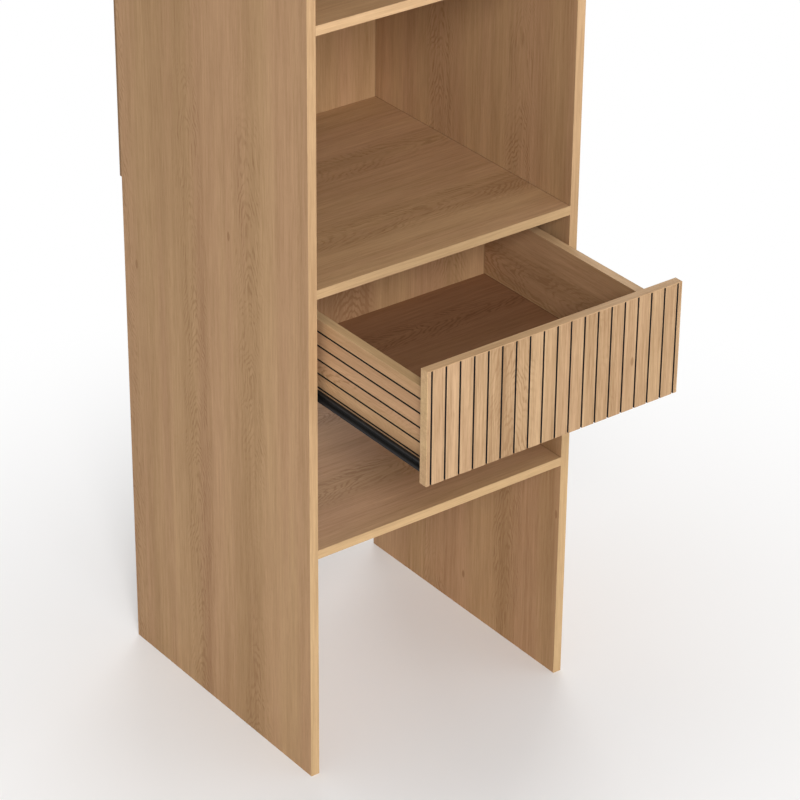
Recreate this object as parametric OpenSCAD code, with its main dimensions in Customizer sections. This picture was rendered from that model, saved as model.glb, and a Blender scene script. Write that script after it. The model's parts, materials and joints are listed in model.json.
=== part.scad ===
// Open wardrobe tower with one drawer and a pair of extending hanging rails.
// Millimetres. X runs to the right, Y to the back, Z up. The origin is on the floor, midway across
// the width, and midway along the depth that the object takes up with its drawer at rest.

/* [Case] */
// Width over the two side panels
case_width = 500; // [460:1:700]
// Depth from the front edges to the rear face of the back panel
case_depth = 500; // [480:1:600]
// Height of the side panels
case_height = 2000; // [1850:1:2300]
// Thickness of the case and drawer boards
board = 15; // [15:0.5:18]
// Thickness of the edge bands
edge_band = 1; // [0.6:0.1:1.5]
// Thickness of the back panel
back_thickness = 5; // [4:0.5:8]
// Height of the bottom shelf's top face
bottom_shelf_top = 409; // [250:1:450]
// Height of the middle shelf's top face, over the drawer
middle_shelf_top = 849; // [760:1:900]
// Height of the upper shelf's top face
upper_shelf_top = 1258.5; // [1100:0.5:1320]
// Height of the high shelf's top face
high_shelf_top = 1629; // [1500:1:1700]

/* [Case fittings] */
// Distance of the cam bolts from a board's front and rear edges
fitting_inset = 50; // [40:1:80]
// Distance from a cam bolt to the dowel beside it
dowel_spacing = 32; // [24:1:60]
// Radius of the cam locks' bores
cam_r = 7.5; // [7:0.1:7.5]
// Height of the cam locks
cam_height = 12; // [11.5:0.1:12.5]
// Distance from a board's end to the axis of its cam lock
cam_reach = 24; // [22:0.5:34]
// Radius of the wooden dowels
dowel_r = 4; // [3:0.5:4]
// Length of the wooden dowels
dowel_length = 28; // [22:1:30]
// Depth of a dowel in the board whose face it stands on
dowel_depth = 10; // [8:0.5:11]
// Greatest distance between two back panel screws
back_screw_pitch = 200; // [120:1:300]
// Distance of the wall brackets from the middle
bracket_x = 150; // [80:1:170]
// Length of each leg of a wall bracket
bracket_leg = 40; // [34:1:60]
// Width of a wall bracket
bracket_width = 36; // [30:1:50]
// Radius of the hole for the wall screw
wall_hole_r = 3; // [2:0.1:3.5]

/* [Drawer] */
// Distance that the drawer is pulled out at rest
drawer_pull = 260; // [10:1:300]
// Height of the drawer's front
front_height = 185; // [165:1:230]
// Gap between the front and each side panel
front_side_gap = 2; // [1.5:0.1:4]
// Gap between the front and the middle shelf
front_top_gap = 3; // [2:0.1:6]
// Distance from the top of the front down to the top of the box
box_drop = 39; // [30:1:60]
// Height of the box's side boards
box_height = 133; // [100:1:150]
// Length of the box's side boards
box_length = 430; // [425:1:440]
// Thickness of the drawer's bottom
bottom_thickness = 4; // [3:0.5:6]
// Height of the bottom's groove above the side boards' lower edges
bottom_lift = 9; // [7:0.5:9]
// Depth of the groove that holds the bottom
bottom_groove = 5; // [4:0.5:5]
// Number of upright grooves in the front
front_grooves = 19; // [5:2:25]
// Distance between two grooves of the front
front_groove_pitch = 25; // [16:0.5:25]
// Number of level grooves in each side board
side_grooves = 5; // [1:1:5]
// Distance between two grooves of a side board
side_groove_pitch = 23.2; // [20:0.1:23.2]
// Distance from a side board's top down to its first groove
side_groove_drop = 20.5; // [15:0.5:20.5]
// Width of every groove
groove_width = 3.2; // [2:0.1:4]
// Depth of every groove
groove_depth = 3; // [1:0.1:3]

/* [Runners] */
// Gap between a side panel and the drawer's box, which the runner fills
runner_space = 12.7; // [12.7:0.1:14]
// Length of the runners
runner_length = 400; // [350:1:410]
// Distance from a fully closed to a fully open drawer
drawer_travel = 300; // [300:1:320]
// Distance from the case's front edges to the front ends of the case runners
runner_setback = 17; // [17:0.5:25]
// Height of a runner's middle above the box's lower edge
runner_lift = 10.3; // [10.3:0.1:12]
// Height of the case runners
runner_height = 21; // [21:0.1:24]
// Thickness of the runners' steel
sheet = 1.2; // [1:0.1:1.2]
// Radius of the bearing balls
ball_r = 1.8; // [1.6:0.1:1.8]
// Distance between two balls of a row
ball_pitch = 12; // [8:1:16]
// Distance from a side panel to the balls' middles
ball_reach = 8; // [7.8:0.1:8]
// Clearance round a ball
ball_gap = 0.05; // [0.02:0.01:0.1]
// Gap at each of the runners' stops
stop_gap = 0.4; // [0.2:0.1:1]

/* [Hanging rails] */
// Height of the rails' axis
rail_height = 1900; // [1700:1:1940]
// Length of the outer tubes
outer_tube_length = 450; // [300:1:600]
// Outer radius of the outer tubes
outer_tube_r = 12.5; // [12:0.1:14]
// Wall of the outer tubes
outer_tube_wall = 1.5; // [1:0.1:1.6]
// Outer radius of the inner tubes
inner_tube_r = 9.5; // [8.5:0.1:9.5]
// Wall of the inner tubes
inner_tube_wall = 1.2; // [1:0.1:2]
// Distance that each rail is pulled out at rest
rail_pull = 120; // [0:1:160]
// Length of the guide bush inside an outer tube
bush_length = 60; // [40:1:100]
// Length of a glide
glide_length = 14; // [10:1:30]
// Radius of the wall flanges
flange_r = 30; // [29:0.5:36]
// Radius of the sockets' flanges
socket_flange_r = 33; // [32:0.5:38]
// Thickness of the flanges
flange_thickness = 4; // [4:0.5:6]
// Length of the collars on the flanges
collar_length = 16; // [14:1:30]
// Radius of the circle that the wall flanges' screws stand on
flange_screw_circle = 22; // [22:0.5:24]
// Radius of the circle that the sockets' screws stand on
socket_screw_circle = 25.5; // [24.5:0.5:27]
// Number of screws in a flange
flange_screws = 3; // [3:1:6]
// Radius of the screw holes in the flanges
flange_hole_r = 2.25; // [2:0.05:2.5]

/* [Clearances] */
// Gap round a fixed pin, dowel or screw in its bore
fit_gap = 0.05; // [0.02:0.01:0.1]
// Gap round a tube or a glide that slides
slide_gap = 0.06; // [0.03:0.01:0.1]

/* [Hidden] */
round_fn = 64;
small_fn = 48;
case_half = case_width / 2;
case_front = (drawer_pull - case_depth) / 2;
case_back = case_front + case_depth;
side_depth = case_depth - back_thickness;
side_back = case_front + side_depth;
inner_half = case_half - board;
shelf_tops = [bottom_shelf_top, middle_shelf_top, upper_shelf_top, high_shelf_top, case_height];
back_bottom = middle_shelf_top - board / 2;
back_shelf_screw_z = [middle_shelf_top - 3.4, upper_shelf_top - board / 2, high_shelf_top - board / 2,
    case_height - board / 2];

// The two ends of each board's row of fittings, with the way inwards from each
fitting_rows = [[case_front + fitting_inset, 1], [side_back - fitting_inset, -1]];
bolt_thread_r = 2.5;
bolt_thread_depth = 11;
bolt_shank_r = 3.4;
bolt_shank_length = cam_reach - 6;
bolt_neck_r = 2;
bolt_head_r = 3.3;
bolt_head_half = 2.4;
bolt_bore_r = 4;
cam_slot = 8;

// Screws: radius of the head, height of the head, radius of the shank, length under or with the head
back_screw = [3.4, 2.4, 1.5, 22];
bracket_screw = [3.2, 2, 1.8, 11];
case_runner_screw = [3.2, 2, 1.8, 11];
drawer_runner_screw = [3, 1.9, 1.7, 10.5];
box_screw = [3.6, 2.6, 1.8, 40];
bottom_screw = [3.2, 2, 1.5, 18];
flange_screw = [4, 2, flange_hole_r - fit_gap, 14];
set_screw_r = 2;
set_screw_length = 5;

front_face = case_front - drawer_pull;
front_back = front_face + board;
front_half = inner_half - front_side_gap;
front_top = middle_shelf_top - board - front_top_gap;
front_bottom = front_top - front_height;
box_top = front_top - box_drop;
box_bottom = box_top - box_height;
box_back = front_back + box_length;
box_outer = inner_half - runner_space;
box_inner = box_outer - board;
bottom_z = box_bottom + bottom_lift;
bottom_top = bottom_z + bottom_thickness;
bottom_half = box_inner + bottom_groove - 0.3;
box_dowel_drops = [12, 55, 98];
front_dowel_depth = 9;
box_screw_drops = [side_groove_drop + side_groove_pitch / 2, side_groove_drop + side_groove_pitch * 5 / 2];
back_dowel_drops = [55, 98];
bottom_screw_x = [-150, 0, 150];

runner_z = box_bottom + runner_lift;
runner_front = case_front + runner_setback;
runner_end = runner_length + stop_gap + sheet;
drawer_runner_front = runner_front - drawer_pull;
race_r = ball_r + ball_gap;
race_z = runner_height / 2 - sheet - race_r;
cage_length = runner_length - drawer_travel - 2 * (sheet + stop_gap);
cage_front = runner_front + drawer_travel / 2 + sheet + stop_gap - drawer_pull / 2;
cage_web = [ball_reach - 4.4, ball_reach - 3.7];
cage_sheet = 0.65;
cage_z = runner_height / 2 - sheet - 0.2;
pocket_r = ball_r - 0.2;
ball_count = floor((cage_length - 4 * ball_r) / ball_pitch) + 1;
ball_start = cage_front + (cage_length - (ball_count - 1) * ball_pitch) / 2;
runner_screws = [45, 200, 355];
drawer_runner_screws_at = [30, 215, 370];

rail_y = case_front + side_depth / 2;
outer_tube_start = flange_thickness;
outer_tube_end = outer_tube_start + outer_tube_length;
outer_tube_bore = outer_tube_r - outer_tube_wall;
bush_collar = 8;
bush_r = outer_tube_r + 1;
glide_r = outer_tube_bore - slide_gap;
glide_start = outer_tube_start + 2 + rail_pull;
inner_tube_start = glide_start + glide_length;
inner_tube_end = outer_tube_end + bush_collar + 2 + collar_length + rail_pull;
inner_tube_bore = inner_tube_r - inner_tube_wall;
socket_collar_r = outer_tube_r + 4;
wall_collar_r = inner_tube_r + 4.5;

oak = [0.72, 0.56, 0.40];
oak_edge = [0.82, 0.64, 0.45];
brown_board = [0.42, 0.29, 0.19];
black_steel = [0.10, 0.10, 0.11];
bright_steel = [0.70, 0.70, 0.72];
beech = [0.80, 0.66, 0.47];
black_plastic = [0.13, 0.13, 0.14];

// A block between two values on each axis
module block(x, y, z) {
    translate([x[0], y[0], z[0]]) cube([x[1] - x[0], y[1] - y[0], z[1] - z[0]]);
}

// A round bar along X
module bar_x(x, y, z, r) {
    translate([x[0], y, z]) rotate([0, 90, 0]) cylinder(h = x[1] - x[0], r = r, $fn = small_fn);
}

// A round bar along Y
module bar_y(x, y, z, r) {
    translate([x, y[0], z]) rotate([-90, 0, 0]) cylinder(h = y[1] - y[0], r = r, $fn = small_fn);
}

// A round bar along Z
module bar_z(x, y, z, r) {
    translate([x, y, z[0]]) cylinder(h = z[1] - z[0], r = r, $fn = small_fn);
}

// Something for the right side, and its mirror image for the left
module both_sides() {
    children();
    mirror([1, 0, 0]) children();
}

// The cross recess in a screw's head, cut from z = 0 downwards
module cross_recess(size, depth) {
    for (turn = [0, 90]) {
        rotate([0, 0, turn]) translate([-size, -size / 6, -depth]) cube([2 * size, size / 3, depth + 1]);
    }
}

// The solid of a flush screw, its head's face at z = 0 and its point downwards
module flush_screw_solid(screw, gap) {
    rotate_extrude($fn = small_fn) polygon([
        [0, 0], [screw[0] + gap, 0], [screw[2] + gap, -screw[1]],
        [screw[2] + gap, screw[2] - screw[3]], [0, -screw[3] - gap]]);
}

module flush_screw(screw) {
    difference() {
        flush_screw_solid(screw, 0);
        cross_recess(screw[0] * 0.55, screw[1] * 0.6);
    }
}

// A screw with a raised head, the underside of its head at z = 0 and its point downwards
module raised_screw(screw) {
    difference() {
        rotate_extrude($fn = small_fn) polygon([
            [0, screw[1]], [screw[0] * 0.8, screw[1]], [screw[0], screw[1] * 0.45], [screw[0], 0],
            [screw[2], 0], [screw[2], screw[2] - screw[3]], [0, -screw[3]]]);
        translate([0, 0, screw[1]]) cross_recess(screw[0] * 0.55, screw[1] * 0.6);
    }
}

module raised_screw_bore(screw) {
    translate([0, 0, -screw[3] - 0.5]) cylinder(h = screw[3] + 1, r = screw[2] + fit_gap, $fn = small_fn);
}

// Turns something that points down so that it points along X or Y, either way
module point_left() { rotate([0, 90, 0]) children(); }
module point_right() { rotate([0, -90, 0]) children(); }
module point_forward() { rotate([-90, 0, 0]) children(); }
module point_up() { rotate([180, 0, 0]) children(); }

// Case boards
module at_panel_fittings() {
    for (top = shelf_tops, row = fitting_rows) {
        translate([inner_half, row[0], top - board / 2]) children();
    }
}

module at_panel_dowels() {
    for (top = shelf_tops, row = fitting_rows) {
        translate([inner_half, row[0] + row[1] * dowel_spacing, top - board / 2]) children();
    }
}

// The back panel's screws up one side, spread evenly
back_screw_rows = ceil((case_height - back_bottom - 30) / back_screw_pitch);
module at_back_side_screws() {
    for (row = [0 : back_screw_rows]) {
        z = back_bottom + 15 + row * (case_height - back_bottom - 30) / back_screw_rows;
        translate([case_half - board / 2, case_back, z]) children();
    }
}

module at_back_shelf_screws() {
    for (z = back_shelf_screw_z) translate([inner_half / 2, case_back, z]) children();
}

module at_case_runner_screws() {
    for (along = runner_screws) {
        translate([inner_half - sheet, runner_front + along, runner_z]) children();
    }
}

module at_rail() {
    translate([case_half, rail_y, rail_height]) rotate([0, 90, 0]) children();
}

module at_flange_screws(circle) {
    for (step = [1 : flange_screws]) {
        rotate([0, 0, step * 360 / flange_screws + 180]) translate([circle, 0, flange_thickness]) children();
    }
}

module side_panel() {
    difference() {
        block([inner_half, case_half], [case_front + edge_band, side_back], [0, case_height]);
        at_panel_fittings() bar_x([-1, bolt_thread_depth + 0.3], 0, 0, bolt_thread_r + fit_gap);
        at_panel_dowels() bar_x([-1, dowel_depth + 0.3], 0, 0, dowel_r + fit_gap);
        at_case_runner_screws() point_right() raised_screw_bore(case_runner_screw);
        at_back_side_screws() point_forward() flush_screw_solid(back_screw, fit_gap);
        at_rail() at_flange_screws(socket_screw_circle) flush_screw_solid(flange_screw, fit_gap);
    }
}

module shelf_board(top) {
    mid = top - board / 2;
    dowel_bore = dowel_length - dowel_depth + 0.5;
    difference() {
        block([-inner_half, inner_half], [case_front + edge_band, side_back], [top - board, top]);
        both_sides() for (row = fitting_rows) {
            bar_z(inner_half - cam_reach, row[0], [top - board - 1, top - board + cam_height + 0.2], cam_r);
            bar_x([inner_half - cam_reach, inner_half + 1], row[0], mid, bolt_bore_r);
            bar_x([inner_half - dowel_bore, inner_half + 1], row[0] + row[1] * dowel_spacing, mid,
                dowel_r + fit_gap);
        }
        both_sides() at_back_shelf_screws() point_forward() flush_screw_solid(back_screw, fit_gap);
    }
}

module left_side_panel() { color(oak) mirror([1, 0, 0]) side_panel(); }
module right_side_panel() { color(oak) side_panel(); }
module bottom_shelf() { color(oak) shelf_board(bottom_shelf_top); }
module middle_shelf() { color(oak) shelf_board(middle_shelf_top); }
module upper_shelf() { color(oak) shelf_board(upper_shelf_top); }
module high_shelf() { color(oak) shelf_board(high_shelf_top); }

module at_bracket_screws() {
    for (across = [-1, 1]) {
        translate([bracket_x + across * bracket_width / 4, side_back - bracket_leg * 0.6,
            case_height - board - 2]) children();
    }
}

module top_panel() {
    color(oak) difference() {
        shelf_board(case_height);
        both_sides() at_bracket_screws() point_up() raised_screw_bore(bracket_screw);
    }
}

module back_panel() {
    color(oak) difference() {
        block([-case_half, case_half], [side_back, case_back], [back_bottom, case_height]);
        both_sides() {
            at_back_side_screws() point_forward() flush_screw_solid(back_screw, fit_gap);
            at_back_shelf_screws() point_forward() flush_screw_solid(back_screw, fit_gap);
            bar_y(bracket_x, [side_back - 1, case_back + 1], case_height - board - bracket_leg * 0.6,
                wall_hole_r);
        }
    }
}

module case_edge_bands() {
    front = [case_front, case_front + edge_band];
    color(oak_edge) {
        both_sides() block([inner_half, case_half], front, [0, case_height]);
        for (top = shelf_tops) {
            block([fit_gap - inner_half, inner_half - fit_gap], front, [top - board, top]);
        }
    }
}

// Case fittings
module cam_lock() {
    difference() {
        cylinder(h = cam_height, r = cam_r - fit_gap, $fn = round_fn);
        bar_x([-bolt_head_half - 0.2, cam_r + 1], 0, board / 2, bolt_shank_r + 0.2);
        for (turn = [0, 90]) {
            rotate([0, 0, turn]) block([-cam_slot / 2, cam_slot / 2], [-0.7, 0.7], [-1, 2]);
        }
    }
}

module cam_locks() {
    color(bright_steel) both_sides() for (top = shelf_tops, row = fitting_rows) {
        translate([inner_half - cam_reach, row[0], top - board]) cam_lock();
    }
}

module cam_bolt() {
    rotate([0, -90, 0]) rotate_extrude($fn = small_fn) polygon([
        [0, -bolt_thread_depth], [bolt_thread_r - 0.8, -bolt_thread_depth],
        [bolt_thread_r, -bolt_thread_depth + 0.8], [bolt_thread_r, 0], [bolt_shank_r, 0],
        [bolt_shank_r, bolt_shank_length], [bolt_neck_r, bolt_shank_length],
        [bolt_neck_r, cam_reach - bolt_head_half], [bolt_head_r, cam_reach - bolt_head_half],
        [bolt_head_r, cam_reach + bolt_head_half], [0, cam_reach + bolt_head_half]]);
}

module cam_bolts() {
    color(bright_steel) both_sides() at_panel_fittings() cam_bolt();
}

// A dowel along X from its inner end, with a chamfer at each end
module dowel() {
    chamfer = 1;
    rotate([0, 90, 0]) rotate_extrude($fn = small_fn) polygon([
        [0, 0], [dowel_r - chamfer, 0], [dowel_r, chamfer], [dowel_r, dowel_length - chamfer],
        [dowel_r - chamfer, dowel_length], [0, dowel_length]]);
}

module wooden_dowels() {
    color(beech) both_sides() at_panel_dowels() translate([dowel_depth - dowel_length, 0, 0]) dowel();
}

module back_panel_screws() {
    color(bright_steel) both_sides() {
        at_back_side_screws() point_forward() flush_screw(back_screw);
        at_back_shelf_screws() point_forward() flush_screw(back_screw);
    }
}

module wall_bracket() {
    under_top = case_height - board;
    steel = 2;
    difference() {
        union() {
            block([bracket_x - bracket_width / 2, bracket_x + bracket_width / 2],
                [side_back - bracket_leg, side_back], [under_top - steel, under_top]);
            block([bracket_x - bracket_width / 2, bracket_x + bracket_width / 2],
                [side_back - steel, side_back], [under_top - bracket_leg, under_top]);
        }
        at_bracket_screws() point_up() raised_screw_bore(bracket_screw);
        bar_y(bracket_x, [side_back - steel - 1, side_back + 1], under_top - bracket_leg * 0.6, wall_hole_r);
    }
}

module wall_brackets() { color(black_steel) both_sides() wall_bracket(); }

module wall_bracket_screws() {
    color(bright_steel) both_sides() at_bracket_screws() point_up() raised_screw(bracket_screw);
}

// Drawer
module at_front_dowels() {
    for (drop = box_dowel_drops) translate([box_outer - board / 2, front_back, box_top - drop]) children();
}

module at_back_dowels() {
    for (drop = back_dowel_drops) translate([box_inner, box_back - board / 2, box_top - drop]) children();
}

module at_box_screws() {
    for (drop = box_screw_drops) translate([box_outer, box_back - board / 2, box_top - drop]) children();
}

module at_drawer_runner_screws() {
    for (along = drawer_runner_screws_at) {
        translate([box_outer + sheet, drawer_runner_front + along, runner_z]) children();
    }
}

module at_bottom_screws() {
    for (x = bottom_screw_x) translate([x, box_back - board / 2, bottom_z]) children();
}

module drawer_front() {
    depth = front_dowel_depth + 0.3;
    color(oak) difference() {
        block([-front_half + edge_band, front_half - edge_band], [front_face, front_back],
            [front_bottom, front_top - edge_band]);
        for (step = [0 : front_grooves - 1]) {
            x = (step - (front_grooves - 1) / 2) * front_groove_pitch;
            block([x - groove_width / 2, x + groove_width / 2], [front_face - 1, front_face + groove_depth],
                [front_bottom - 1, front_top]);
        }
        block([-bottom_half - 0.2, bottom_half + 0.2], [front_back - bottom_groove, front_back + 1],
            [bottom_z - 0.1, bottom_top + 0.1]);
        both_sides() at_front_dowels() bar_y(0, [-depth, 1], 0, dowel_r + fit_gap);
    }
}

module drawer_side() {
    difference() {
        block([box_inner, box_outer], [front_back, box_back], [box_bottom, box_top - edge_band]);
        for (step = [0 : side_grooves - 1]) {
            z = box_top - side_groove_drop - step * side_groove_pitch;
            block([box_outer - groove_depth, box_outer + 1], [front_back - 1, box_back + 1],
                [z - groove_width / 2, z + groove_width / 2]);
        }
        block([box_inner - 1, box_inner + bottom_groove], [front_back - 1, box_back + 1],
            [bottom_z - 0.1, bottom_top + 0.1]);
        at_front_dowels() bar_y(0, [-1, dowel_length - front_dowel_depth + 0.5], 0, dowel_r + fit_gap);
        at_back_dowels() bar_x([-1, dowel_depth + 0.3], 0, 0, dowel_r + fit_gap);
        at_box_screws() point_left() flush_screw_solid(box_screw, fit_gap);
        at_drawer_runner_screws() point_left() raised_screw_bore(drawer_runner_screw);
    }
}

module drawer_left_side() { color(oak) mirror([1, 0, 0]) drawer_side(); }
module drawer_right_side() { color(oak) drawer_side(); }

module drawer_back() {
    color(oak) difference() {
        block([-box_inner, box_inner], [box_back - board, box_back], [bottom_top, box_top - edge_band]);
        both_sides() {
            at_back_dowels() bar_x([dowel_depth - dowel_length - 0.5, 1], 0, 0, dowel_r + fit_gap);
            at_box_screws() point_left() flush_screw_solid(box_screw, fit_gap);
        }
        at_bottom_screws() point_up() flush_screw_solid(bottom_screw, fit_gap);
    }
}

module drawer_bottom() {
    color(brown_board) difference() {
        block([-bottom_half, bottom_half], [front_back - bottom_groove + 0.3, box_back],
            [bottom_z, bottom_top]);
        at_bottom_screws() point_up() flush_screw_solid(bottom_screw, fit_gap);
    }
}

module drawer_edge_bands() {
    top = [box_top - edge_band, box_top];
    color(oak_edge) {
        block([-front_half, front_half], [front_face, front_back], [front_top - edge_band, front_top]);
        both_sides() {
            block([front_half - edge_band, front_half], [front_face, front_back],
                [front_bottom, front_top - edge_band - fit_gap]);
            block([box_inner, box_outer], [front_back + fit_gap, box_back], top);
        }
        block([fit_gap - box_inner, box_inner - fit_gap], [box_back - board, box_back], top);
    }
}

module drawer_dowels() {
    color(beech) both_sides() {
        at_front_dowels() translate([0, -front_dowel_depth, 0]) rotate([0, 0, 90]) dowel();
        at_back_dowels() translate([dowel_depth - dowel_length, 0, 0]) dowel();
    }
}

module drawer_back_screws() {
    color(bright_steel) both_sides() at_box_screws() point_left() flush_screw(box_screw);
}

module drawer_bottom_screws() {
    color(bright_steel) at_bottom_screws() point_up() flush_screw(bottom_screw);
}

// Runners, drawn as sections: first the distance from the side panel, then the height over the middle
module along_right_runner(start, length) {
    translate([inner_half, start, runner_z]) mirror([1, 0, 0]) rotate([-90, 0, 0]) mirror([0, 1, 0])
        linear_extrude(height = length) children();
}

// The curled edge that holds a ball, from one angle round to another
module curl(from, to) {
    reach = 3 * ball_r;
    middle = (from + to) / 2;
    translate([ball_reach, race_z]) intersection() {
        difference() {
            circle(r = race_r + sheet, $fn = small_fn);
            circle(r = race_r, $fn = small_fn);
        }
        polygon([[0, 0], reach * [cos(from), sin(from)], 1.5 * reach * [cos(middle), sin(middle)],
            reach * [cos(to), sin(to)]]);
    }
}

module top_and_bottom() {
    children();
    mirror([0, 1]) children();
}

module case_runner_section() {
    translate([0, -runner_height / 2]) square([sheet, runner_height]);
    top_and_bottom() {
        translate([0, runner_height / 2 - sheet]) square([ball_reach, sheet]);
        curl(-15, 90);
    }
}

// The ball channel, on a mounting strip that reaches down to the box's lower edge
module drawer_runner_section() {
    top = race_z - race_r;
    translate([runner_space - sheet, -runner_lift]) square([sheet, runner_lift + top]);
    top_and_bottom() {
        translate([ball_reach, top - sheet]) square([runner_space - ball_reach, sheet]);
        curl(165, 270);
    }
}

module case_runner() {
    tab_z = cage_z - cage_sheet + 0.05;
    difference() {
        union() {
            along_right_runner(runner_front, runner_end) case_runner_section();
            along_right_runner(runner_front, sheet) top_and_bottom()
                translate([cage_web[0], tab_z])
                square([ball_reach + 0.4 - cage_web[0], cage_z + 0.5 - tab_z]);
            along_right_runner(runner_front + runner_end - sheet, sheet)
                translate([0, -4]) square([ball_reach + 3, 8]);
        }
        at_case_runner_screws() point_right() raised_screw_bore(case_runner_screw);
    }
}

module drawer_runner() {
    difference() {
        union() {
            along_right_runner(drawer_runner_front, runner_length) drawer_runner_section();
            along_right_runner(drawer_runner_front + runner_length - sheet, sheet)
                translate([cage_web[0] - 0.1, -2.5]) square([runner_space - cage_web[0], 5]);
        }
        at_drawer_runner_screws() point_left() raised_screw_bore(drawer_runner_screw);
    }
}

module at_balls() {
    for (step = [0 : ball_count - 1], side = [-1, 1]) {
        translate([inner_half - ball_reach, ball_start + step * ball_pitch, runner_z + side * race_z])
            children();
    }
}

module ball_cage() {
    difference() {
        along_right_runner(cage_front, cage_length) {
            translate([cage_web[0], -cage_z]) square([cage_web[1] - cage_web[0], 2 * cage_z]);
            top_and_bottom() translate([cage_web[0], cage_z - cage_sheet])
                square([ball_reach + 0.5 - cage_web[0], cage_sheet]);
        }
        at_balls() translate([0, 0, -ball_r - 1]) cylinder(h = 2 * ball_r + 2, r = pocket_r, $fn = small_fn);
    }
}

module left_case_runner() { color(black_steel) mirror([1, 0, 0]) case_runner(); }
module right_case_runner() { color(black_steel) case_runner(); }
module left_drawer_runner() { color(black_steel) mirror([1, 0, 0]) drawer_runner(); }
module right_drawer_runner() { color(black_steel) drawer_runner(); }
module left_ball_cage() { color(black_plastic) mirror([1, 0, 0]) ball_cage(); }
module right_ball_cage() { color(black_plastic) ball_cage(); }
module left_balls() { color(bright_steel) mirror([1, 0, 0]) at_balls() sphere(r = ball_r, $fn = small_fn); }
module right_balls() { color(bright_steel) at_balls() sphere(r = ball_r, $fn = small_fn); }

module case_runner_screws() {
    color(bright_steel) both_sides() at_case_runner_screws() point_right() raised_screw(case_runner_screw);
}

module drawer_runner_screws() {
    color(bright_steel) both_sides() at_drawer_runner_screws() point_left()
        raised_screw(drawer_runner_screw);
}

// Hanging rails, drawn upwards from the side panel and then laid along X
module flange(tube_r, collar_r, outer_r, circle) {
    difference() {
        union() {
            cylinder(h = flange_thickness, r = outer_r, $fn = round_fn);
            cylinder(h = flange_thickness + collar_length, r = collar_r, $fn = round_fn);
        }
        translate([0, 0, flange_thickness])
            cylinder(h = collar_length + 1, r = tube_r + fit_gap, $fn = round_fn);
        at_flange_screws(circle) {
            translate([0, 0, -flange_thickness - 1])
                cylinder(h = flange_thickness + 2, r = flange_hole_r, $fn = small_fn);
            flush_screw_solid(flange_screw, fit_gap);
        }
        at_set_screw(tube_r) cylinder(h = collar_r, r = set_screw_r + fit_gap, $fn = small_fn);
    }
}

// The set screw's place under the collar, its axis pointing down
module at_set_screw(tube_r) {
    translate([tube_r, 0, flange_thickness + collar_length / 2]) rotate([0, 90, 0]) children();
}

module set_screw(tube_r) {
    at_set_screw(tube_r) difference() {
        cylinder(h = set_screw_length, r = set_screw_r, $fn = small_fn);
        translate([0, 0, set_screw_length - 2]) cylinder(h = 3, r = 1.1, $fn = 6);
    }
}

module tube(start, end, outer, inner) {
    translate([0, 0, start]) difference() {
        cylinder(h = end - start, r = outer, $fn = round_fn);
        translate([0, 0, -1]) cylinder(h = end - start + 2, r = inner, $fn = round_fn);
    }
}

module rail_socket() {
    color(black_steel) at_rail() flange(outer_tube_r, socket_collar_r, socket_flange_r, socket_screw_circle);
}

module outer_tube() {
    color(black_steel) at_rail() tube(outer_tube_start, outer_tube_end, outer_tube_r, outer_tube_bore);
}

module guide_bush() {
    bore = inner_tube_r + slide_gap;
    color(black_plastic) at_rail() {
        tube(outer_tube_end - bush_length, outer_tube_end + 0.5, outer_tube_bore, bore);
        tube(outer_tube_end, outer_tube_end + bush_collar, bush_r, bore);
    }
}

module inner_tube() {
    color(black_steel) at_rail() tube(inner_tube_start, inner_tube_end, inner_tube_r, inner_tube_bore);
}

module tube_glide() {
    color(black_plastic) at_rail() translate([0, 0, glide_start]) {
        cylinder(h = glide_length, r = glide_r, $fn = round_fn);
        cylinder(h = glide_length + 12, r = inner_tube_bore, $fn = round_fn);
    }
}

// The wall flange's face, with the flange drawn back from it towards the tower
module at_wall_face() {
    at_rail() translate([0, 0, inner_tube_end + flange_thickness]) mirror([0, 0, 1]) children();
}

module wall_flange() {
    color(black_steel) at_wall_face() flange(inner_tube_r, wall_collar_r, flange_r, flange_screw_circle);
}

module flange_set_screw() { color(bright_steel) at_wall_face() set_screw(inner_tube_r); }

module left_rail_socket() { mirror([1, 0, 0]) rail_socket(); }
module right_rail_socket() { rail_socket(); }
module left_outer_tube() { mirror([1, 0, 0]) outer_tube(); }
module right_outer_tube() { outer_tube(); }
module left_guide_bush() { mirror([1, 0, 0]) guide_bush(); }
module right_guide_bush() { guide_bush(); }
module left_inner_tube() { mirror([1, 0, 0]) inner_tube(); }
module right_inner_tube() { inner_tube(); }
module left_tube_glide() { mirror([1, 0, 0]) tube_glide(); }
module right_tube_glide() { tube_glide(); }
module left_wall_flange() { mirror([1, 0, 0]) wall_flange(); }
module right_wall_flange() { wall_flange(); }
module left_flange_set_screw() { mirror([1, 0, 0]) flange_set_screw(); }
module right_flange_set_screw() { flange_set_screw(); }

module socket_screws() {
    color(bright_steel) both_sides() at_rail() at_flange_screws(socket_screw_circle)
        flush_screw(flange_screw);
}

module socket_set_screws() { color(bright_steel) both_sides() at_rail() set_screw(outer_tube_r); }

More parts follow.
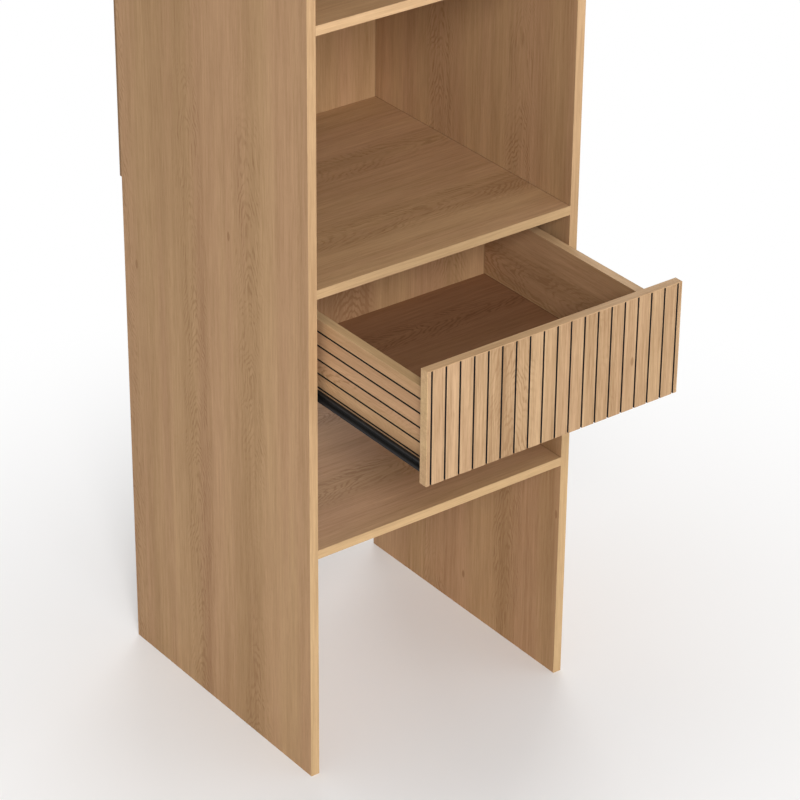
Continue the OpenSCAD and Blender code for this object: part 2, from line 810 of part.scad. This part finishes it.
left_side_panel();
right_side_panel();
bottom_shelf();
middle_shelf();
upper_shelf();
high_shelf();
top_panel();
back_panel();
case_edge_bands();
cam_locks();
cam_bolts();
wooden_dowels();
back_panel_screws();
wall_brackets();
wall_bracket_screws();
drawer_front();
drawer_left_side();
drawer_right_side();
drawer_back();
drawer_bottom();
drawer_edge_bands();
drawer_dowels();
drawer_back_screws();
drawer_bottom_screws();
left_case_runner();
right_case_runner();
left_drawer_runner();
right_drawer_runner();
left_ball_cage();
right_ball_cage();
left_balls();
right_balls();
case_runner_screws();
drawer_runner_screws();
left_rail_socket();
right_rail_socket();
left_outer_tube();
right_outer_tube();
left_guide_bush();
right_guide_bush();
left_inner_tube();
right_inner_tube();
left_tube_glide();
right_tube_glide();
left_wall_flange();
right_wall_flange();
socket_screws();
socket_set_screws();
left_flange_set_screw();
right_flange_set_screw();
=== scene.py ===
import json
import math
import random

import bmesh
import bpy
from mathutils import Matrix, Vector


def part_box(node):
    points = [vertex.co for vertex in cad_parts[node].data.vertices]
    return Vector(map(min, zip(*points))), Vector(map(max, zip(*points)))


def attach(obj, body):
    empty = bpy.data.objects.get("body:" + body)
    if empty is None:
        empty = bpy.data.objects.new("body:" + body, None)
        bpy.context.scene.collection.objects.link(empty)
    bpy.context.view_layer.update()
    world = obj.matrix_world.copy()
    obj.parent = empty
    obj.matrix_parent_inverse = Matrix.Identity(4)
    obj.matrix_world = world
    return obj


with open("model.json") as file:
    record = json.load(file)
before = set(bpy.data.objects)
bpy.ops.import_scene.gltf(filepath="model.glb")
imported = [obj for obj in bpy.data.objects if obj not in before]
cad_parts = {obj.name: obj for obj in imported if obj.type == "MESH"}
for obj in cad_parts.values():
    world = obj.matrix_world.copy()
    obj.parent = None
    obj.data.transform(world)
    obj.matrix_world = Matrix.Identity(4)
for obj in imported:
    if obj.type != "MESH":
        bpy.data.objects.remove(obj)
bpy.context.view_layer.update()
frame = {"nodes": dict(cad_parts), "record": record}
X, Y, Z = range(3)
WHITE = (1.0, 1.0, 1.0, 1.0)

# Sizes of the solids, in metres
BOARD = 0.015
EDGE_BAND = 0.001
GROOVE_WIDTH = 0.0032
GROOVE_DEPTH = 0.003
FRONT_GROOVES = 19
FRONT_GROOVE_PITCH = 0.025
SIDE_GROOVES = 5
SIDE_GROOVE_PITCH = 0.0232
SIDE_GROOVE_DROP = 0.0205

# The places of a Mix node's sockets for colours
MIX_FACTOR, MIX_FIRST, MIX_SECOND, MIX_RESULT = 0, 6, 7, 2


# Shader trees

class Shade:
    """An output of a node in one material's tree, which Python's operators work on."""

    def __init__(self, tree, socket):
        self.tree = tree
        self.socket = socket

    def make(self, kind, inputs, output=0, **settings):
        """Add a node of a kind, with its settings and then its inputs, and return one of its outputs."""
        node = self.tree.nodes.new(kind)
        for name, value in settings.items():
            setattr(node, name, value)
        for name, value in inputs.items():
            if isinstance(value, Shade):
                self.tree.links.new(value.socket, node.inputs[name])
            else:
                node.inputs[name].default_value = value
        return Shade(self.tree, node.outputs[output])

    def sibling(self, name):
        """Another output of the same node."""
        return Shade(self.tree, self.socket.node.outputs[name])

    def math(self, operation, *others):
        return self.make("ShaderNodeMath", dict(enumerate((self,) + others)), operation=operation)

    def __add__(self, other):
        return self.math("ADD", other)

    __radd__ = __add__

    def __mul__(self, other):
        return self.math("MULTIPLY", other)

    __rmul__ = __mul__

    def __sub__(self, other):
        return self.math("SUBTRACT", other)

    def __rsub__(self, other):
        return self * -1.0 + other

    def __truediv__(self, other):
        return self.math("DIVIDE", other)

    def __gt__(self, other):
        return self.math("GREATER_THAN", other)

    def __abs__(self):
        return self.math("ABSOLUTE")

    def floor(self):
        return self.math("FLOOR")

    def root(self):
        return self.math("SQRT")

    def least(self, other):
        return self.math("MINIMUM", other)

    def most(self, other):
        return self.math("MAXIMUM", other)

    def wave(self):
        """A sine wave with one period for each whole step of the value."""
        return (self * (2.0 * math.pi)).math("SINE")

    def ease(self, low, high, start=0.0, end=1.0):
        """Go smoothly from start to end as the value goes from low to high."""
        inputs = {"Value": self, "From Min": low, "From Max": high, "To Min": start, "To Max": end}
        return self.make("ShaderNodeMapRange", inputs, interpolation_type="SMOOTHSTEP")

    def parts(self):
        """The three parts of a vector or a colour."""
        first = self.make("ShaderNodeSeparateXYZ", {"Vector": self})
        return [first.sibling(name) for name in "XYZ"]

    def joined(self, second, third):
        """A vector of this value and two more."""
        return self.make("ShaderNodeCombineXYZ", {"X": self, "Y": second, "Z": third})

    def scaled(self, factors):
        return self.make("ShaderNodeVectorMath", {0: self, 1: factors}, operation="MULTIPLY")

    def shifted(self, steps):
        return self.make("ShaderNodeVectorMath", {0: self, 1: steps}, operation="ADD")

    def noise(self, scale=1.0, detail=2.0, roughness=0.5):
        inputs = {"Vector": self, "Scale": scale, "Detail": detail, "Roughness": roughness}
        return self.make("ShaderNodeTexNoise", inputs)

    def drawn(self):
        """Three random values between 0 and 1 for each whole vector."""
        return self.make("ShaderNodeTexWhiteNoise", {"Vector": self}, output="Color").parts()

    def mix(self, first, second):
        """Mix two colours, with this value as the share of the second."""
        inputs = {MIX_FACTOR: self, MIX_FIRST: first, MIX_SECOND: second}
        return self.make("ShaderNodeMix", inputs, output=MIX_RESULT, data_type="RGBA")

    def bump(self, distance, strength):
        return self.make("ShaderNodeBump", {"Height": self, "Distance": distance, "Strength": strength})


def new_material(name):
    """An empty material: its surface node and its object coordinates."""
    material = bpy.data.materials.new(name)
    material.use_nodes = True
    tree = material.node_tree
    tree.nodes.clear()
    surface = tree.nodes.new("ShaderNodeBsdfPrincipled")
    output = tree.nodes.new("ShaderNodeOutputMaterial")
    tree.links.new(surface.outputs[0], output.inputs["Surface"])
    place = tree.nodes.new("ShaderNodeTexCoord")
    return material, surface, Shade(tree, place.outputs["Object"])


def finish(surface, colour, roughness, normal, gloss=0.5, metal=0.0):
    """Link a surface's colour, roughness and normal, and set its fixed gloss and metal."""
    links = surface.id_data.links
    links.new(colour.socket, surface.inputs["Base Color"])
    links.new(roughness.socket, surface.inputs["Roughness"])
    links.new(normal.socket, surface.inputs["Normal"])
    surface.inputs["Specular IOR Level"].default_value = gloss
    surface.inputs["Metallic"].default_value = metal


def display(red, green, blue):
    """A linear colour from the values that a screen shows."""
    steps = [value / 255 for value in (red, green, blue)]
    linear = [s / 12.92 if s <= 0.04045 else ((s + 0.055) / 1.055) ** 2.4 for s in steps]
    return (*linear, 1.0)


def tinted(colour, red, green, blue):
    return (colour[0] * red, colour[1] * green, colour[2] * blue, 1.0)


def own_place(place, seed):
    """The place, moved by steps of a node's own, so that each node shows another part of the noise."""
    return place.shifted((seed, seed * 0.5, seed * 0.25))


def worn_edges(place, box, width):
    """A patchy value that rises from 0 to 1 towards the edges of a box."""
    near = [(part - low).least(part * -1.0 + high) for part, low, high in zip(place.parts(), *box)]
    x, y, z = near
    second_nearest = x.least(y).most(x.most(y).least(z))
    patchy = place.noise(30.0, 3.0)
    return second_nearest.ease(0.0, width, 1.0, 0.0) * patchy.ease(0.35, 0.75)


# Colours of the materials

OAK = display(185, 150, 114)
FRONT_OAK = display(183, 152, 119)
# The drawer box's oak, partly its own tone and partly lighter as painted light in the drawer's shaded inside
BOX_OAK_AND_PAINTED_LIGHT = display(191, 154, 117)
# The edge bands' own oak tone, made lighter than the boards' as painted light on the lit front edges
EDGE_OAK_AND_PAINTED_LIGHT = display(197, 165, 126)
BROWN = display(146, 108, 78)
BEECH = display(206, 170, 126)
RAW_LIGHT = display(158, 124, 90)
RAW_DARK = display(132, 98, 68)
BLACK = display(27, 25, 24)
RAIL_BLACK = display(34, 33, 33)
LINING_BLACK = display(24, 24, 25)
ZINC = (0.62, 0.63, 0.65, 1.0)
BEARING_STEEL = (0.75, 0.75, 0.77, 1.0)
WORN_METAL = (0.9, 0.9, 0.9, 1.0)


# How the grain of the boards lies

# In metres: the width of a strip of figure, the width from which a board is broad, and how far in the middle
# of a broad board's first strip is
STRIP_WIDTH = 0.19
BROAD_BOARD = 0.3
FIRST_COLUMN = 0.13


def board_lie(grain, box):
    """How a board lies: what turns a place into lengths along, across and through its grain. The length
    across starts where a strip of figure does, so that a column is in the middle of a narrow board."""
    low, high = box
    others = [axis for axis in range(3) if axis != grain]
    wide_axis, deep_axis = sorted(others, key=lambda axis: low[axis] - high[axis])
    width = high[wide_axis] - low[wide_axis]
    column = FIRST_COLUMN if width > BROAD_BOARD else width / 2
    strip_start = low[wide_axis] + column - STRIP_WIDTH / 2

    def lie(place):
        parts = place.parts()
        return parts[grain], parts[wide_axis] - strip_start, parts[deep_axis]
    return lie


def case_band_lie(box):
    """The case's edge bands: upright on the side panels, level on the shelves."""
    inner_half = box[1][X] - BOARD

    def lie(place):
        x, y, z = place.parts()
        upright = abs(x) > inner_half
        along = x + upright * (z - x)
        return along, x + z - along, y
    return lie


def drawer_band_lie(box):
    """The drawer's edge bands: level on the front and the back, upright on the front's ends, and from front
    to back on the box's sides."""
    front_back = box[0][Y] + BOARD
    end_start = box[1][X] - EDGE_BAND
    box_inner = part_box("drawer_right_side")[0][X]

    def lie(place):
        x, y, z = place.parts()
        behind = y > front_back
        upright = (abs(x) > end_start) * (1.0 - behind)
        lengthwise = (abs(x) > box_inner) * behind
        along = x + upright * (z - x) + lengthwise * (y - x)
        return along, x + y - along + upright * z, z
    return lie


# Wood

# Noise in the grain: changes per metre across and along it, and the noise's detail and roughness
BROAD_TONE = (11.0, 0.5)
BANDS = (32.0, 0.7, 4.0, 0.65)
STREAKS = (210.0, 8.0, 3.0, 0.6)
FIBRES = (720.0, 20.0, 2.0, 0.6)
PORES = (1300.0, 60.0, 1.0)
HUES = (14.0, 0.6, 3.0)
SWAY = (2.0, 0.8)
RING_BENDS = (26.0, 8.0, 3.0)
RING_JITTER = (150.0, 34.0)
FIGURE_PATCHES = (7.0, 2.2)
FIGURE_BREAKS = (75.0, 18.0)

# How strongly each of them changes the depth of the tone
BROAD_DEPTH = 0.80
BAND_DEPTH = 0.75
STREAK_DEPTH = 0.95
FIBRE_DEPTH = 0.80
PORE_DEPTH = 0.14
FIGURE_DEPTH = 0.46
KNOT_DEPTH = 0.8

# The arched figure's lines per metre across the grain, how many more a strip may have, and along the grain
LINES_PER_METRE = 110.0
MORE_LINES_PER_METRE = 70.0
ARCHES_PER_METRE = 52.0

# Counted in lines: how far the drift, a knot, the bends and the jitter move the figure at most
DRIFT_REACH = 22.0
KNOT_PUSH = 3.0
BEND_REACH = 5.0
JITTER_REACH = 1.6

# The figured column in each strip, in metres: the roundness of its arches, the range of its sway and of its
# place in the strip, and its half-width where it is full and where it has faded
ARCH_TIP = 0.006
SWAY_REACH = 0.07
COLUMN_REACH = 0.05
COLUMN_FULL = 0.018
COLUMN_FADED = 0.046
# The share of the figure that is left beside the column, and how dark the column is between its lines
FADED_SHARE = 0.10
COLUMN_SHADE = 0.22

# Places for knots per metre across and along the grain, the share of them that stays without, and a knot's
# size and reach, in steps between two places
KNOTS_ACROSS = 4.0
KNOTS_ALONG = 1.6
KNOTLESS = 0.6
KNOT_FULL = 0.005
KNOT_FADED = 0.016
KNOT_REACH = 0.2

# What red, green and blue are multiplied by to turn one colour into another
LIGHTER = (1.16, 1.17, 1.19)
DARKER = (0.66, 0.60, 0.54)
YELLOWER = (1.0, 1.01, 0.96)
LIGHT_PINKER = (1.01, 0.99, 0.99)
DARK_PINKER = (1.01, 0.98, 0.98)
# A darker copy of the dark tone, for the painted shade at the seams
SEAM_SHADE_DARKER = (0.45, 0.42, 0.4)

# In metres: how far from the board beside the painted shade at a seam starts and is full, the raw layer at
# the back panel's rear, the width of worn edges and the relief of the fibres
SEAM_SHADE_START = 0.0026
SEAM_SHADE_FULL = 0.0004
RAW_LAYER = 0.0002
WOOD_WEAR = 0.002
WOOD_RELIEF = 0.00008

WOOD_ROUGHNESS = 0.48
WOOD_GLOSS = 0.05

# How crisp the fine grain is, and the range of the hue from yellower to pinker
BOARD_CRISPNESS = 0.8
FRONT_CRISPNESS = 1.4
ALL_HUES = (0.0, 1.0)
MIDDLE_HUES = (0.3, 0.7)


def arched_figure(wide, along, grain_noise, seed):
    """The print's growth lines: arches in strips side by side, which run out into straight grain, and small
    knots that the lines pass round. Returns how dark the lines are and where the knots are."""
    warped = wide + (grain_noise(*SWAY) - 0.5) * SWAY_REACH
    strip = (warped / STRIP_WIDTH).floor()
    fine, shift, strength = strip.joined(seed, 0.5).drawn()
    side_step = warped - (strip + 0.5) * STRIP_WIDTH + (shift - 0.5) * COLUMN_REACH
    spots = {"Vector": (wide * KNOTS_ACROSS).joined(along * KNOTS_ALONG, 0.0), "Scale": 1.0}
    knot_far = wide.make("ShaderNodeTexVoronoi", spots, output="Distance", voronoi_dimensions="2D")
    kept = knot_far.sibling("Color").parts()[0] > KNOTLESS
    drift = (along * 2.4).joined(strip * 7.0 + shift * 3.0, seed).noise(1.0, 3.0, 0.6)
    spread = (side_step * side_step + ARCH_TIP * ARCH_TIP).root()
    rings = spread * (fine * MORE_LINES_PER_METRE + LINES_PER_METRE) + along * ARCHES_PER_METRE
    rings = rings + drift * DRIFT_REACH + knot_far.ease(0.0, KNOT_REACH, 1.0, 0.0) * kept * KNOT_PUSH
    rings = rings + (grain_noise(*RING_BENDS) - 0.5) * BEND_REACH
    rings = rings + (grain_noise(*RING_JITTER) - 0.5) * JITTER_REACH
    in_column = abs(side_step).ease(COLUMN_FULL, COLUMN_FADED, 1.0, FADED_SHARE)
    patchy = grain_noise(*FIGURE_PATCHES).ease(0.32, 0.52, 0.2, 1.0)
    broken = grain_noise(*FIGURE_BREAKS).ease(0.35, 0.62, 0.15, 1.0)
    lines = rings.wave().ease(-0.2, 1.0) * in_column * patchy * broken * (strength * 0.5 + 0.6)
    return lines + in_column * COLUMN_SHADE, knot_far.ease(KNOT_FULL, KNOT_FADED, 1.0, 0.0) * kept


def wood(name, base, seed, lie, box, figured=True, crisp=BOARD_CRISPNESS, hues=ALL_HUES, shaded_seam_at=None,
         raw_behind=None):
    """Oak-effect board: streaks and fibres along the grain and, where it is figured, arches with a few small
    knots. Painted shade darkens its seams with the boards at both sides of it, and raw brown fibre shows
    behind."""
    material, surface, place = new_material(name)
    chance = random.Random(seed)
    along, wide, deep = lie(place)
    along = along + chance.uniform(5.0, 40.0)
    wide = wide + chance.randrange(30, 200) * STRIP_WIDTH

    def grain_noise(across_scale, along_scale, detail=2.0, roughness=0.5):
        stretched = (wide * across_scale).joined(along * along_scale, deep * across_scale)
        return stretched.noise(1.0, detail, roughness)

    broad = grain_noise(*BROAD_TONE) - 0.5
    bands = grain_noise(*BANDS) - 0.5
    streaks = grain_noise(*STREAKS) - 0.5
    fibres = grain_noise(*FIBRES) - 0.5
    pores = grain_noise(*PORES).ease(0.30, 0.42, 1.0, 0.0)
    fine_grain = streaks * STREAK_DEPTH + fibres * FIBRE_DEPTH + pores * PORE_DEPTH
    depth = 0.5 + broad * BROAD_DEPTH + bands * BAND_DEPTH + fine_grain * crisp
    height = fibres - pores * 0.6
    if figured:
        lines, knots = arched_figure(wide, along, grain_noise, seed)
        depth = depth + lines * FIGURE_DEPTH + knots * KNOT_DEPTH
        height = height - lines * 0.4
    light, dark = tinted(base, *LIGHTER), tinted(base, *DARKER)
    yellow = depth.mix(tinted(light, *YELLOWER), tinted(dark, *YELLOWER))
    pink = depth.mix(tinted(light, *LIGHT_PINKER), tinted(dark, *DARK_PINKER))
    colour = grain_noise(*HUES).ease(0.38, 0.62, *hues).mix(yellow, pink)
    colour = (worn_edges(place, box, WOOD_WEAR) * 0.25).mix(colour, light)
    # Painted shade: darker towards the boards at both sides, as a shadow in the seam
    if shaded_seam_at is not None:
        seam_shade = abs(place.parts()[X]).ease(shaded_seam_at - SEAM_SHADE_START, shaded_seam_at - SEAM_SHADE_FULL)
        colour = (seam_shade * 0.6).mix(colour, tinted(dark, *SEAM_SHADE_DARKER))
    roughness = WOOD_ROUGHNESS + fibres * 0.16 + pores * 0.10 + broad * 0.06
    if raw_behind is not None:
        raw = place.parts()[Y] > raw_behind
        fibre_tone = place.noise(260.0, 4.0, 0.7).ease(0.3, 0.7)
        colour = raw.mix(colour, fibre_tone.mix(RAW_LIGHT, RAW_DARK))
        roughness = roughness + raw * 0.3
    finish(surface, colour, roughness, height.bump(WOOD_RELIEF, 0.5), gloss=WOOD_GLOSS)
    return material


# Metal and plastic

# In metres: the width of worn edges and the relief of the surface
COAT_WEAR = 0.0012
METAL_WEAR = 0.0008
COAT_RELIEF = 0.00005
MOULDED_RELIEF = 0.0001
MARK_RELIEF = 0.00002

COAT_GLOSS = 0.22
# The turning marks' changes per metre along X, Y and Z
METAL_MARKS = (300.0, 300.0, 4200.0)


def painted(name, box, colour, roughness, relief, seed):
    """Black coat or plastic: fine texture, clouded tone and lighter, smoother edges."""
    material, surface, place = new_material(name)
    own = own_place(place, seed)
    cloud = own.noise(14.0, 4.0, 0.6)
    worn = worn_edges(place, box, COAT_WEAR)
    lighter = tuple(min(1.0, part * 1.9 + 0.008) for part in colour[:3]) + (1.0,)
    tone = (cloud.ease(0.3, 0.8) * 0.22).mix(colour, lighter)
    tone = (worn * 0.45).mix(tone, lighter)
    uneven = roughness + (cloud - 0.5) * 0.14 - worn * 0.08
    finish(surface, tone, uneven, own.noise(1400.0).bump(relief, 0.5), gloss=COAT_GLOSS)
    return material


def bare_metal(name, box, colour, roughness, seed):
    """Plated steel: turning marks, clouded tone and bright edges."""
    material, surface, place = new_material(name)
    own = own_place(place, seed)
    marks = own.scaled(METAL_MARKS).noise()
    cloud = own.noise(60.0, 3.0)
    tone = cloud.ease(0.3, 0.75).mix(colour, tinted(colour, 0.72, 0.72, 0.74))
    tone = (worn_edges(place, box, METAL_WEAR) * 0.4).mix(tone, WORN_METAL)
    finish(surface, tone, roughness + (marks - 0.5) * 0.14, marks.bump(MARK_RELIEF, 0.4), metal=1.0)
    return material


# The materials of the nodes

BASE_OF = {
    "oak_board": OAK, "oak_drawer_board": BOX_OAK_AND_PAINTED_LIGHT, "oak_edge_band": EDGE_OAK_AND_PAINTED_LIGHT,
    "brown_bottom_board": BROWN, "beech_dowel": BEECH,
}
# The axis that the grain runs along, where it isn't X
GRAIN_OF = {
    "left_side_panel": Z, "right_side_panel": Z, "back_panel": Z, "drawer_front": Z, "drawer_back": Z,
    "drawer_left_side": Y, "drawer_right_side": Y,
}
# The boards that have a board at both sides, with painted shade at those seams, and the right one of the two
BOARD_BESIDE = {
    "bottom_shelf": "right_side_panel", "middle_shelf": "right_side_panel", "upper_shelf": "right_side_panel",
    "high_shelf": "right_side_panel", "top_panel": "right_side_panel", "back_panel": "right_side_panel",
    "drawer_bottom": "drawer_right_side", "drawer_back": "drawer_right_side",
}
# Metals: the start of the material's name, the colour and the roughness
METAL_OF = {
    "zinc_fitting": ("zinc_", ZINC, 0.32), "zinc_screw": ("zinc_", ZINC, 0.32),
    "bearing_steel": ("bearing_", BEARING_STEEL, 0.12),
}
# Coats and plastics: the same three and the relief
COAT_OF = {
    "black_rail": ("rail_", RAIL_BLACK, 0.36, COAT_RELIEF),
    "black_plastic": ("plastic_", BLACK, 0.55, MOULDED_RELIEF),
    "black_screw": ("black_", BLACK, 0.62, COAT_RELIEF),
    "black_runner": ("black_", BLACK, 0.62, COAT_RELIEF),
    "black_bracket": ("black_", BLACK, 0.62, COAT_RELIEF),
}
SLOT_OF = {part["node"]: part["material_slot"] for part in frame["record"]["subparts"]}


def node_wood(node, slot, box, seed):
    """The wood of one node, with its grain laid as on the real board."""
    name = "oak_" + node
    if node == "case_edge_bands":
        return wood(name, BASE_OF[slot], seed, case_band_lie(box), box, figured=False)
    if node == "drawer_edge_bands":
        return wood(name, BASE_OF[slot], seed, drawer_band_lie(box), box, figured=False)
    lie = board_lie(GRAIN_OF.get(node, X), box)
    if node == "drawer_front":
        return wood(name, FRONT_OAK, seed, lie, box, crisp=FRONT_CRISPNESS, hues=MIDDLE_HUES)
    raw_behind = box[1][Y] - RAW_LAYER if node == "back_panel" else None
    # Where painted shade darkens the seams with the boards beside
    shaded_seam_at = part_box(BOARD_BESIDE[node])[0][X] if node in BOARD_BESIDE else None
    return wood(name, BASE_OF[slot], seed, lie, box, figured=slot != "beech_dowel", shaded_seam_at=shaded_seam_at,
                raw_behind=raw_behind)


def node_material(node, slot, box, seed):
    """The material of one node, by its slot."""
    if slot in BASE_OF:
        return node_wood(node, slot, box, seed)
    if slot in METAL_OF:
        start, colour, roughness = METAL_OF[slot]
        return bare_metal(start + node, box, colour, roughness, seed)
    start, colour, roughness, relief = COAT_OF[slot]
    return painted(start + node, box, colour, roughness, relief, seed)


for order, node in enumerate(sorted(frame["nodes"])):
    made = node_material(node, SLOT_OF[node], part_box(node), order + 1.37)
    for holder in frame["nodes"][node].material_slots:
        holder.material = made


# The black linings of the grooves

LINING = 0.00025
LINING_GAP = 0.00003
LINING_SETBACK = 0.00015
LINING_ROUGHNESS = 0.6


def new_object(name, tool, material):
    """A mesh object at the origin, made from a bmesh."""
    mesh = bpy.data.meshes.new(name)
    tool.to_mesh(mesh)
    tool.free()
    mesh.materials.append(material)
    piece = bpy.data.objects.new(name, mesh)
    bpy.context.scene.collection.objects.link(piece)
    return piece


def add_block(tool, low, high):
    """Add a block between two corners."""
    centre = [(a + b) / 2 for a, b in zip(low, high)]
    size = [b - a for a, b in zip(low, high)]
    bmesh.ops.create_cube(tool, size=1.0, matrix=Matrix.Translation(centre) @ Matrix.Diagonal((*size, 1.0)))


def lining_blocks(middle, mouth, inward):
    """The floor and the two walls of a groove's lining, as ranges across the groove and into it."""
    half = GROOVE_WIDTH / 2 - LINING_GAP
    start = mouth + inward * LINING_SETBACK
    end = mouth + inward * (GROOVE_DEPTH - LINING_GAP)
    floor_start = end - inward * LINING
    walls = [((middle - half, middle - half + LINING), (start, floor_start)),
             ((middle + half - LINING, middle + half), (start, floor_start))]
    return [((middle - half, middle + half), (floor_start, end))] + walls


def line_grooves(name, middles, across, depth_axis, mouth, inward, length_range, seed):
    """Line a board's grooves with thin black channels, clear of the wood. The grooves lie side by side along
    one axis, go in from their mouth along another and run along the third."""
    length_axis = X + Y + Z - across - depth_axis
    tool = bmesh.new()
    for middle in middles:
        for across_range, depth_range in lining_blocks(middle, mouth, inward):
            ranges = {across: across_range, depth_axis: sorted(depth_range), length_axis: length_range}
            add_block(tool, *zip(*(ranges[axis] for axis in range(3))))
    low = [min(v.co[axis] for v in tool.verts) for axis in range(3)]
    high = [max(v.co[axis] for v in tool.verts) for axis in range(3)]
    coat = painted(name + "_coat", (low, high), LINING_BLACK, LINING_ROUGHNESS, COAT_RELIEF, seed)
    lining = new_object(name, tool, coat)
    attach(lining, "drawer")


front_low, front_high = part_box("drawer_front")
line_grooves("front_groove_linings",
             [(step - (FRONT_GROOVES - 1) / 2) * FRONT_GROOVE_PITCH for step in range(FRONT_GROOVES)],
             X, Y, front_low[Y], 1, (front_low[Z], front_high[Z] - LINING_GAP), 3.0)
for side, sign in (("left", -1), ("right", 1)):
    low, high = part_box("drawer_%s_side" % side)
    top_groove = high[Z] + EDGE_BAND - SIDE_GROOVE_DROP
    line_grooves("%s_groove_linings" % side,
                 [top_groove - step * SIDE_GROOVE_PITCH for step in range(SIDE_GROOVES)],
                 Z, X, high[X] if sign > 0 else low[X], -sign, (low[Y] + LINING_GAP, high[Y]), 5.0 + sign)


# Floor and backdrop

FLOOR = (0.90, 0.888, 0.88, 1.0)
# In metres from the middle: how far the floor goes each way, and where it starts to fade and is white
FLOOR_REACH = 40.0
FADE_START = 0.2
FADE_END = 1.4


def seen_rays(tree):
    """1 for the rays that show a thing to the camera, also in reflections and through glass."""
    outputs = tree.nodes.new("ShaderNodeLightPath").outputs
    camera_ray, glossy_ray, transmission_ray = [
        Shade(tree, outputs["Is %s Ray" % kind]) for kind in ("Camera", "Glossy", "Transmission")]
    return camera_ray.most(glossy_ray).most(transmission_ray)


def floor_material():
    """Pale matt floor, which fades to white away from the object for the camera and in reflections."""
    material, surface, place = new_material("pale_floor")
    x, y = place.parts()[:2]
    tone = place.noise(0.8).ease(0.3, 0.7)
    colour = tone.mix(FLOOR, tinted(FLOOR, 0.985, 0.985, 0.985))
    finish(surface, colour, 0.9 + tone * 0.05, place.noise(300.0).bump(COAT_RELIEF, 0.2), gloss=0.1)
    far = (x * x + y * y).root().ease(FADE_START, FADE_END)
    white = place.make("ShaderNodeEmission", {"Color": WHITE, "Strength": 1.0})
    near = Shade(place.tree, surface.outputs[0])
    mixed = place.make("ShaderNodeMixShader", {0: far * seen_rays(place.tree), 1: near, 2: white})
    output = [node for node in place.tree.nodes if node.type == "OUTPUT_MATERIAL"][0]
    place.tree.links.new(mixed.socket, output.inputs["Surface"])
    return material


tool = bmesh.new()
bmesh.ops.create_grid(tool, x_segments=1, y_segments=1, size=FLOOR_REACH)
floor = new_object("floor", tool, floor_material())

# The world lights softly, and shows white to the camera and in reflections
WORLD_LIGHT = 0.38
world = bpy.data.worlds.new("studio")
bpy.context.scene.world = world
world.use_nodes = True
background = world.node_tree.nodes["Background"]
background.inputs["Color"].default_value = WHITE
world_strength = seen_rays(world.node_tree) * (1.0 - WORLD_LIGHT) + WORLD_LIGHT
world.node_tree.links.new(world_strength.socket, background.inputs["Strength"])


# Lamps

OBJECT_MIDDLE = Vector((0.0, 0.0, 1.0))
# Name, place, size in metres and power in watts
LAMPS = [
    ("front_left", (-1.8, -4.8, 2.2), 3.0, 95.0),
    ("high_left", (-3.2, -5.3, 4.5), 1.5, 250.0),
    ("front_right", (3.2, -3.4, 2.2), 3.0, 25.0),
    ("rear", (0.0, 5.0, 2.0), 3.0, 20.0),
    ("rear_right", (3.2, 3.8, 2.2), 3.0, 100.0),
    ("overhead", (0.0, 0.3, 5.0), 3.0, 20.0),
]


def area_light(name, place, size, power):
    """A square area light at a place, turned to the middle of the object."""
    data = bpy.data.lights.new(name, "AREA")
    data.shape = "SQUARE"
    data.size = size
    data.energy = power
    light = bpy.data.objects.new(name, data)
    light.location = place
    light.rotation_euler = (OBJECT_MIDDLE - Vector(place)).to_track_quat("-Z", "Y").to_euler()
    bpy.context.scene.collection.objects.link(light)


for lamp in LAMPS:
    area_light(*lamp)


# Camera, fitted to the edges of the boards in the photograph

IMAGE_SIZE = 800
FOCAL_PIXELS = 3306.48
SENSOR = 36.0
CAMERA_PLACE = (-2.67033, -3.54722, 3.04810)
CAMERA_RIGHT = Vector((0.800891, -0.598757, 0.007961))
CAMERA_DOWN = Vector((-0.289332, -0.398578, -0.870300))
CAMERA_AHEAD = Vector((0.524271, 0.694713, -0.492457))
camera_data = bpy.data.cameras.new("camera")
camera_data.sensor_width = SENSOR
camera_data.lens = FOCAL_PIXELS / IMAGE_SIZE * SENSOR
camera_data.clip_end = 60.0
camera = bpy.data.objects.new("camera", camera_data)
turn = Matrix((CAMERA_RIGHT, -CAMERA_DOWN, -CAMERA_AHEAD)).transposed().to_4x4()
camera.matrix_world = Matrix.Translation(CAMERA_PLACE) @ turn
bpy.context.scene.collection.objects.link(camera)
bpy.context.scene.camera = camera
bpy.context.scene.view_settings.view_transform = "Standard"
